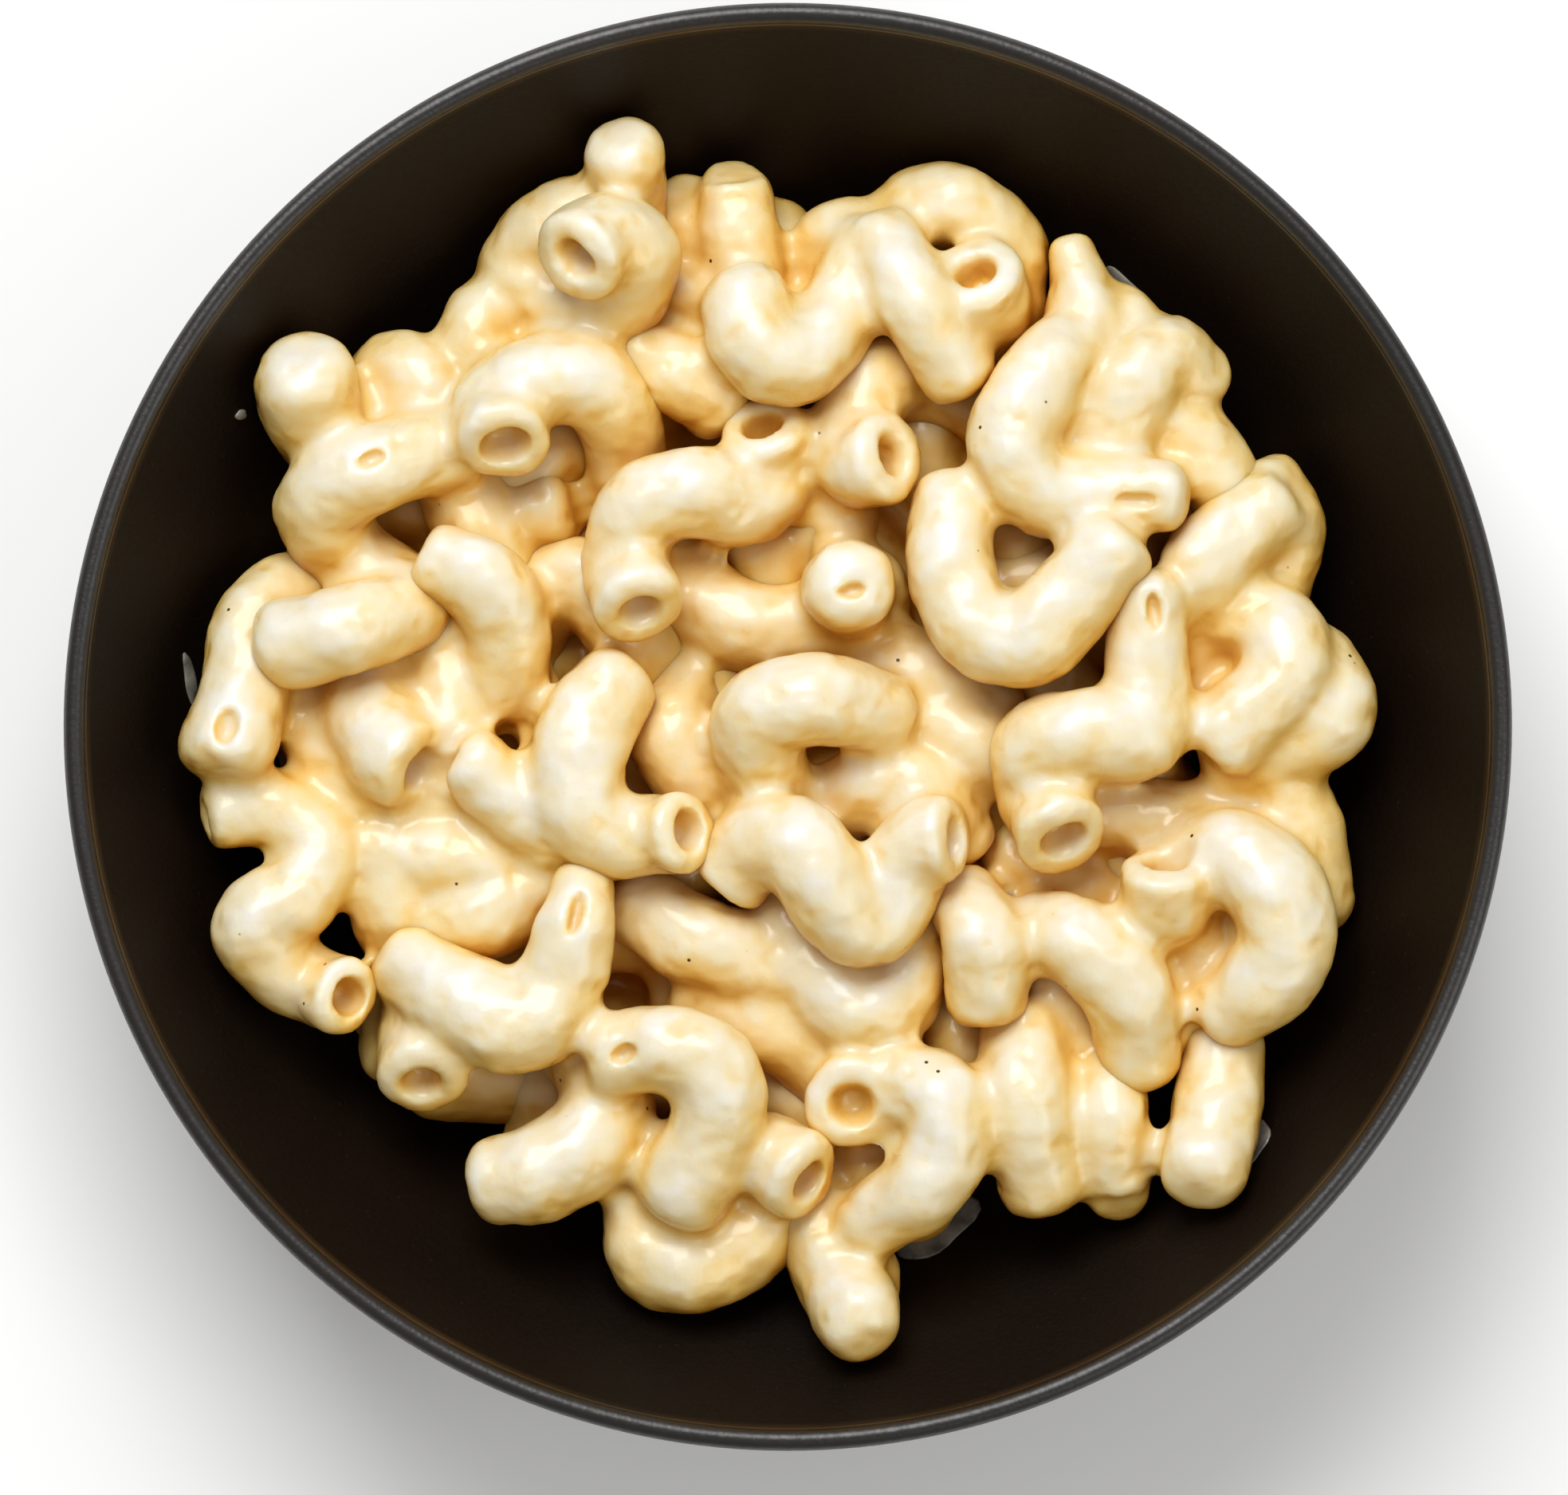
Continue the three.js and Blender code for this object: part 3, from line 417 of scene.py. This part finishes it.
def add_piece(skin, hollow, at, wide=TUBE, open=""):
    """One piece of macaroni: its outside goes to skin, and the bores of its open ends to hollow."""
    line, radii = middle_line(at, wide, open)
    last = len(line) - 1
    step = sum((b - a).length for a, b in zip(line, line[1:])) / last
    # An open end is cut square and its lip is rounded; a closed one is a dome.
    near = LIP_ROUND if "a" in open else radii[0] * DOME
    far = LIP_ROUND if "b" in open else radii[-1] * DOME
    rounding = [1 - math.cos(math.pi / 2 / DOME_RINGS * i) for i in range(1, DOME_RINGS + 1)]
    stations = [near * d / step for d in rounding]
    shrink = [(1 - (1 - d) ** BLUNT) ** (1 / BLUNT) for d in rounding]
    ends = [last - far * d / step for d in rounding[::-1]]
    between = list(range(math.ceil(near / step) + 1, math.floor(last - far / step)))
    rings = []
    across = None
    for position, scale in zip(stations + between + ends, shrink + [1.0] * len(between) + shrink[::-1]):
        i = min(max(int(position), 0), last - 1)
        forward = (line[i + 1] - line[i]).normalized()
        if across is None:
            across = (Vector((0, 0, 1)) if abs(forward.z) < 0.8 else Vector((1, 0, 0))).cross(forward)
        across = (across - forward * across.dot(forward)).normalized()
        radius = scale * (radii[i] + (radii[i + 1] - radii[i]) * (position - i))
        for end, away in (("a", position * step), ("b", (last - position) * step)):
            if end in open:
                radius *= 1 + (FLARE - 1) * max(0.0, 1 - away / FLARE_LENGTH)
        middle = line[i].lerp(line[i + 1], position - i)
        rings.append((middle, across * radius, forward.cross(across) * radius))
    add_rings(*skin, rings, TUBE_SIDES)
    for end in open:
        path = line if end == "a" else line[::-1]
        inward = (path[3] - path[0]).normalized()
        across = inward.cross(Vector((0, 0, 1))).normalized()
        bore = BORE * (radii[0] if end == "a" else radii[-1])
        low = bore * (1 - SAG + SAG * inward.z ** 2)
        rings = []
        for depth, size in MOUTH:
            middle = path[0] + inward * depth if depth < 2 else path[round(depth / step)]
            rings.append((middle, across * (bore * size), inward.cross(across) * (low * size)))
        add_rings(*hollow, rings, BORE_SIDES)


def add_slit(hollow, start, end, half_width):
    """A narrow hollow along the top of a tube, pointed at both ends."""
    start, end = Vector(start), Vector(end)
    across = Vector((0, 0, 1)).cross(end - start).normalized() * half_width
    rings = []
    for i in range(SLIT_RINGS + 1):
        t = math.pi * (0.06 + 0.88 * i / SLIT_RINGS)
        middle = start.lerp(end, 0.5 - 0.5 * math.cos(t))
        rings.append((middle, across * math.sin(t), Vector((0, 0, SLIT_DEPTH * math.sin(t)))))
    add_rings(*hollow, rings, SLIT_SIDES)


# How the coat of sauce lies, in millimetres.
COAT = {"Lump Width": 8.0, "Lump Height": 1.5, "Ripple Width": 3.4, "Ripple Height": 0.5,
        "Dent Width": 3.0, "Dent Depth": 0.8}


def sauce_coat_tree():
    """The coat of sauce evens out into soft lumps about the width of a tube, with finer ripples on top and
    dents where it has run off; it keeps how thick it lies at each point for the material."""
    tree = bpy.data.node_groups.new("sauce_coat", "GeometryNodeTree")
    face = tree.interface
    face.new_socket("Geometry", in_out="INPUT", socket_type="NodeSocketGeometry")
    for name, value in COAT.items():
        face.new_socket(name, in_out="INPUT", socket_type="NodeSocketFloat").default_value = value
    face.new_socket("Sauce", in_out="INPUT", socket_type="NodeSocketMaterial")
    face.new_socket("Geometry", in_out="OUTPUT", socket_type="NodeSocketGeometry")
    start = put(tree, "NodeGroupInput")
    position = put(tree, "GeometryNodeInputPosition").outputs[0]
    normal = put(tree, "GeometryNodeInputNormal").outputs[0]
    heights = []
    for width, height, level, top in (("Lump Width", "Lump Height", 0.5, 1.0),
                                      ("Ripple Width", "Ripple Height", 0.5, 1.0),
                                      ("Dent Width", "Dent Depth", 0.42, 0.0)):
        scale = put(tree, "ShaderNodeMath", {0: 1.0, 1: start.outputs[width]}, operation="DIVIDE").outputs[0]
        wave = put(tree, "ShaderNodeTexNoise", {
            "Vector": position, "Scale": scale, "Detail": 1.5, "Roughness": 0.45}).outputs[0]
        low = put(tree, "ShaderNodeMath", {0: wave, 1: level}, operation="SUBTRACT").outputs[0]
        kept = put(tree, "ShaderNodeMath", {0: low, 1: top}, operation="MINIMUM").outputs[0]
        heights.append(put(tree, "ShaderNodeMath", {0: kept, 1: start.outputs[height]},
                           operation="MULTIPLY").outputs[0])
    fine = put(tree, "ShaderNodeMath", {0: heights[1], 1: heights[2]}, operation="ADD").outputs[0]
    total = put(tree, "ShaderNodeMath", {0: heights[0], 1: fine}, operation="ADD").outputs[0]
    push = put(tree, "ShaderNodeVectorMath", {0: normal, "Scale": total}, operation="SCALE").outputs[0]
    moved = put(tree, "GeometryNodeSetPosition", {"Geometry": start.outputs[0], "Offset": push}).outputs[0]
    # How much a point lies in a hollow: how far its surroundings' mean stands outside of it.
    around = put(tree, "GeometryNodeBlurAttribute", {"Value": position, "Iterations": 24},
                 data_type="FLOAT_VECTOR").outputs[0]
    lean = put(tree, "ShaderNodeVectorMath", {0: around, 1: position}, operation="SUBTRACT").outputs[0]
    hollow = put(tree, "ShaderNodeVectorMath", {0: lean, 1: normal}, operation="DOT_PRODUCT").outputs["Value"]
    kept = moved
    for name, value in (("thick", fine), ("hollow", hollow)):
        kept = put(tree, "GeometryNodeStoreNamedAttribute", {"Geometry": kept, "Name": name, "Value": value},
                   data_type="FLOAT", domain="POINT").outputs[0]
    smooth = put(tree, "GeometryNodeSetShadeSmooth", {"Geometry": kept}).outputs[0]
    real = put(tree, "GeometryNodeRealizeInstances", {0: smooth}).outputs[0]
    painted = put(tree, "GeometryNodeSetMaterial", {
        "Geometry": real, "Material": start.outputs["Sauce"]}).outputs[0]
    put(tree, "NodeGroupOutput", {0: painted})
    return tree


def coated(name, skin, hollow, voxel, fill, material):
    """Fuses tubes that touch, lets the sauce fill the creases between them, opens the mouths and coats
    it all."""
    tubes, bores = [bpy.data.objects.new(name + part, bpy.data.meshes.new(name + part))
                    for part in ("_tubes", "_bores")]
    for rough, (points, faces) in ((tubes, skin), (bores, hollow)):
        rough.data.from_pydata([tuple(p) for p in points], [], faces)
        bpy.context.scene.collection.objects.link(rough)
    # The tubes are swollen by the fill and shrunk again, which leaves sauce in the narrow gaps.
    for step in ("fuse", "swell", "fuse_again", "shrink", "open", "even", "soften"):
        kind = {"fuse": "REMESH", "fuse_again": "REMESH", "even": "REMESH", "swell": "DISPLACE",
                "shrink": "DISPLACE", "open": "BOOLEAN", "soften": "SMOOTH"}[step]
        if kind == "BOOLEAN" and not hollow[0]:
            continue
        change = tubes.modifiers.new(step, kind)
        if kind == "REMESH":
            change.mode, change.voxel_size = "VOXEL", voxel
        elif kind == "DISPLACE":
            change.strength, change.mid_level = (fill if step == "swell" else -fill), 0
        elif kind == "BOOLEAN":
            change.object, change.operation, change.solver = bores, "DIFFERENCE", "MANIFOLD"
        else:
            change.factor, change.iterations = 0.5, 6
    coat = tubes.modifiers.new("coat", "NODES")
    coat.node_group = sauce_coat
    inputs = dict(COAT, Sauce=material)
    for item in sauce_coat.interface.items_tree:
        if item.in_out == "INPUT" and item.name in inputs:
            coat[item.identifier] = inputs[item.name]
    made = bpy.data.meshes.new_from_object(tubes.evaluated_get(bpy.context.evaluated_depsgraph_get()))
    bpy.data.objects.remove(tubes)
    bpy.data.objects.remove(bores)
    made.transform(Matrix.Scale(0.001, 4))
    made.name = name
    piece = bpy.data.objects.new(name, made)
    bpy.context.scene.collection.objects.link(piece)
    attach(piece, "root")
    return piece


# Cheese sauce: an emulsion of milk fat and starch. It is pale cream where it lies thick and golden where it
# is thin; light goes a few millimetres into it. The gold and brown in the creases, in hollows, low in the
# heap and on the sides turned from the window lamp are painted shade.
sauce, tree = new_material("cheese_sauce_on_cooked_pasta")
place = put(tree, "ShaderNodeTexCoord").outputs["Object"]
# level runs from brown to cream. Partly it is how much sauce lies there, from its lumps and blotches; partly
# it is painted light and shade: lighter on the sides that face the window lamp, darker in creases, in hollows
# and low in the heap.
painted_crease_shade = put(tree, "ShaderNodeAmbientOcclusion", {"Distance": 0.006}, samples=2).outputs["AO"]
thick = put(tree, "ShaderNodeAttribute", attribute_name="thick").outputs["Fac"]
hollow = put(tree, "ShaderNodeAttribute", attribute_name="hollow").outputs["Fac"]
blotch = put(tree, "ShaderNodeTexNoise", {"Vector": place, "Scale": 1000 / 6, "Detail": 2, "Roughness": 0.5})
# Painted light: the sides that face the window lamp, up and towards the back, are drawn lighter, and those
# turned away are drawn darker.
faced = put(tree, "ShaderNodeNewGeometry").outputs["Normal"]
faces_the_window = put(tree, "ShaderNodeVectorMath", {0: faced, 1: (-0.15, 0.42, 0.9)},
             operation="DOT_PRODUCT").outputs["Value"]
level = put(tree, "ShaderNodeMath", {0: faces_the_window, 1: 0.6}, operation="MULTIPLY").outputs[0]
level = put(tree, "ShaderNodeMath", {0: painted_crease_shade, 1: 0.28, 2: level}, operation="MULTIPLY_ADD").outputs[0]
level = put(tree, "ShaderNodeMath", {0: thick, 1: 0.35, 2: level}, operation="MULTIPLY_ADD").outputs[0]
# Painted shade: hollows are drawn darker.
level = put(tree, "ShaderNodeMath", {0: hollow, 1: -0.15, 2: level}, operation="MULTIPLY_ADD").outputs[0]
level = put(tree, "ShaderNodeMath", {0: blotch.outputs["Fac"], 1: 0.5, 2: level}, operation="MULTIPLY_ADD")
# Painted shade: the lower a point lies in the heap, the darker it is drawn.
height = put(tree, "ShaderNodeSeparateXYZ", {0: place}).outputs["Z"]
depth = put(tree, "ShaderNodeMapRange", {"Value": height, 1: 0.022, 2: 0.037, 3: 0.6, 4: 0.23}).outputs[0]
level = put(tree, "ShaderNodeMath", {0: level.outputs[0], 1: depth}, operation="SUBTRACT").outputs[0]
sauce_tone_with_painted_shade = put(tree, "ShaderNodeValToRGB", {0: level}, [
    (0.0, "#CB8C26"), (1.0, "#E6E3DA"), (0.2, "#E1AF4C"), (0.4, "#EAC36D"), (0.6, "#EBD194"),
    (0.8, "#E8DCBB")]).outputs[0]
# Specks of spice, about half a millimetre, one in a few square centimetres.
speck = put(tree, "ShaderNodeTexVoronoi", {"Vector": place, "Scale": 1000 / 7}).outputs["Distance"]
spice = put(tree, "ShaderNodeMapRange", {0: speck, 1: 0.022, 2: 0.036, 3: 1.0, 4: 0.0}).outputs[0]
tinted = put(tree, "ShaderNodeMix", {"Factor": spice, 6: sauce_tone_with_painted_shade, 7: linear("#4A2A0C")},
             data_type="RGBA").outputs[2]
# Its skin has soft folds about a centimetre apart and fine pores a millimetre or two wide.
pores = put(tree, "ShaderNodeTexNoise", {"Vector": place, "Scale": 1000 / 2, "Detail": 2}).outputs["Fac"]
folds = put(tree, "ShaderNodeTexNoise", {"Vector": place, "Scale": 1000 / 9, "Detail": 2, "Roughness": 0.4},
            noise_type="RIDGED_MULTIFRACTAL").outputs["Fac"]
skin_height = put(tree, "ShaderNodeMath", {0: folds, 1: 1.6, 2: pores}, operation="MULTIPLY_ADD").outputs[0]
bump = put(tree, "ShaderNodeBump", {"Height": skin_height, "Strength": 0.5, "Distance": 0.00028}).outputs[0]
wet = put(tree, "ShaderNodeMapRange", {0: blotch.outputs["Fac"], 1: 0.3, 2: 0.7, 3: 0.22, 4: 0.44}).outputs[0]
body = put(tree, "ShaderNodeBsdfPrincipled", {
    "Base Color": tinted, "Roughness": wet, "Normal": bump, "Subsurface Weight": 0.6,
    "Subsurface Radius": (0.8, 0.6, 0.15), "Subsurface Scale": 0.003, "IOR": 1.42,
    "Specular IOR Level": 0.4, "Coat Weight": 0.32, "Coat Roughness": 0.08})
put(tree, "ShaderNodeOutputMaterial", {"Surface": body.outputs[0]})

sauce_coat = sauce_coat_tree()
for part, pieces in MACARONI.items():
    skin, hollow = ([], []), ([], [])
    for piece in pieces:
        add_piece(skin, hollow, **piece)
    for where, start, end, half_width in SLITS:
        if where == part:
            add_slit(hollow, start, end, half_width)
    coated("macaroni_" + part, skin, hollow, VOXEL, FILL, sauce)

# The pieces underneath and the sauce that has run down between them, as one thick bed.
skin, hollow = ([], []), ([], [])
for degrees in LOWER:
    a = math.radians(degrees)
    add_piece(skin, hollow, [(r * math.cos(a), r * math.sin(a), 0) for r in (24, 37, 50)])
BED_PIECES, BED_RADIUS, BED_HEIGHT, HALF_LENGTH, GOLDEN_ANGLE = 44, 45, 21, 6.5, 2.39996
for i in range(BED_PIECES):
    # A sunflower's spiral spreads them evenly; each one turns its own way.
    r, a, turn = BED_RADIUS * math.sqrt((i + 0.5) / BED_PIECES), i * GOLDEN_ANGLE, i * 1.9
    x, y = r * math.cos(a), r * math.sin(a)
    dx, dy = HALF_LENGTH * math.cos(turn), HALF_LENGTH * math.sin(turn)
    z = BED_HEIGHT + 2.5 * math.sin(i * 1.3)
    add_piece(skin, hollow, [
        (x - dx, y - dy, z - 2), (x - dy * 0.4, y + dx * 0.4, z + 2), (x + dx, y + dy, z - 1)])
# A mound under them all closes the gaps: its outline, from the floor of the well up.
mound = [(0, 6.0), (18, 6.0), (30, 7.2), (40, 11.5), (40, 15), (32, 19), (15, 21), (0, 21.5)]
add_rings(*skin, [(Vector((0, 0, z)), Vector((max(r, 0.5), 0, 0)), Vector((0, max(r, 0.5), 0)))
                  for r, z in mound], MOUND_SIDES)
coated("macaroni_bed", skin, hollow, BED_VOXEL, BED_FILL, sauce)
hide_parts("macaroni_heap")


# ------------------------------------------------------------------------- smears on the bowl
# Where pieces have slid along the wall a little sauce stayed behind, in smears the width of a pea or less.
# They are so thin that the black glaze shows through and turns them grey.
SMEARS = [  # middle, length, width, and the way it is turned in degrees
    (48.6, -43.4, 5.4, 2.6, 62), (15.4, -52.2, 10.0, 6.0, 34), (-62.6, 5.0, 5.6, 1.2, 98),
    (-57.1, 32.6, 1.3, 1.0, 40), (36.0, 45.8, 7.0, 1.6, -48), (-11.6, 56.8, 3.4, 1.8, 10),
]
film, tree = new_material("thin_smear_of_cheese_sauce")
place = put(tree, "ShaderNodeTexCoord").outputs["Object"]
drag = put(tree, "ShaderNodeTexNoise", {"Vector": place, "Scale": 1000 / 3, "Detail": 3}).outputs["Fac"]
veil = put(tree, "ShaderNodeValToRGB", {0: drag}, [(0.3, "#4A4741"), (0.7, "#A29C8E")]).outputs[0]
body = put(tree, "ShaderNodeBsdfPrincipled", {"Base Color": veil, "Roughness": 0.22})
put(tree, "ShaderNodeOutputMaterial", {"Surface": body.outputs[0]})
FILM, UNDERSIDE = 0.4, 0.04  # how thick a smear is in the middle, and how far it lies off the glaze
OUTLINES, SPOKES = 9, 24
points, faces = [], []
for x, y, length, width, turn in SMEARS:
    cosine, sine = math.cos(math.radians(turn)), math.sin(math.radians(turn))
    first = len(points)
    # Its outlines run from the middle over the top to the edge, and back in underneath.
    for i in range(OUTLINES):
        round_edge = math.pi / (OUTLINES - 1) * i
        out = max(math.sin(round_edge), 0.04)
        lift = UNDERSIDE + FILM * max(math.cos(round_edge), 0)
        for j in range(SPOKES):
            a = 2 * math.pi / SPOKES * j
            reach = out * (1 + 0.08 * math.sin(3 * a + x) + 0.05 * math.sin(5 * a + y))
            along, aside = reach * length / 2 * math.cos(a), reach * width / 2 * math.sin(a)
            px, py = x + along * cosine - aside * sine, y + along * sine + aside * cosine
            points.append((px, py, well_height(math.hypot(px, py)) + lift))
            if i < OUTLINES - 1:
                this, after = first + SPOKES * i + j, first + SPOKES * i + (j + 1) % SPOKES
                faces.append((this, this + SPOKES, after + SPOKES, after))
    bottom = first + SPOKES * (OUTLINES - 1)
    faces += [tuple(range(first, first + SPOKES)), tuple(range(bottom + SPOKES - 1, bottom - 1, -1))]
smears = millimetre_mesh("smears_of_sauce", points, faces)
smears.data.materials.append(film)
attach(smears, "root")


# --------------------------------------------------------------------------------- table and light
# A table covered in white card, in a white room that lights it evenly. One large soft lamp hangs behind the
# bowl and a little to the left, and a weak one across from it lifts the shadows.
card, tree = new_material("white_matte_paper")
body = put(tree, "ShaderNodeBsdfPrincipled", {"Base Color": linear("#FBFBFB"), "Roughness": 0.9})
put(tree, "ShaderNodeOutputMaterial", {"Surface": body.outputs[0]})
HALF_TABLE, TABLE_TOP = 3000, -0.2
floor = millimetre_mesh("table", [(HALF_TABLE * x, HALF_TABLE * y, TABLE_TOP)
                                  for x, y in ((-1, -1), (1, -1), (1, 1), (-1, 1))], [(0, 1, 2, 3)])
floor.data.materials.append(card)

room = bpy.data.worlds.new("white_room")
room.use_nodes = True
room.node_tree.nodes["Background"].inputs["Color"].default_value = (1.0, 0.99, 0.97, 1.0)
room.node_tree.nodes["Background"].inputs["Strength"].default_value = 0.36
bpy.context.scene.world = room
# Where each lamp hangs and how wide it is, in millimetres, and its watts.
for name, spot, size, power in (("window", (-130, 560, 720), 560, 7.8),
                                ("reflector", (500, -300, 600), 500, 1.8)):
    lamp = bpy.data.lights.new(name, "AREA")
    lamp.size = size / 1000
    lamp.energy = power
    stand = bpy.data.objects.new(name, lamp)
    stand.location = Vector(spot) / 1000
    stand.rotation_euler = (-Vector(spot)).to_track_quat("-Z", "Y").to_euler()
    bpy.context.scene.collection.objects.link(stand)

scene = bpy.context.scene
scene.view_settings.view_transform = "Standard"
scene.view_settings.look = "None"

# The camera hangs straight above, 1.2 m over the rim and 2 mm in front of the bowl's middle.
ABOVE_RIM, FRAME_WIDTH, CAMERA_X, CAMERA_Y = 1200, 162.2, -0.4, -2.14
camera = bpy.data.cameras.new("camera")
camera.sensor_width = 36.0
camera.lens = camera.sensor_width * ABOVE_RIM / FRAME_WIDTH
above = bpy.data.objects.new("camera", camera)
above.location = (CAMERA_X / 1000, CAMERA_Y / 1000, (RIM_HEIGHT + ABOVE_RIM) / 1000)
above.rotation_euler = (0, 0, 0)
scene.collection.objects.link(above)
scene.camera = above
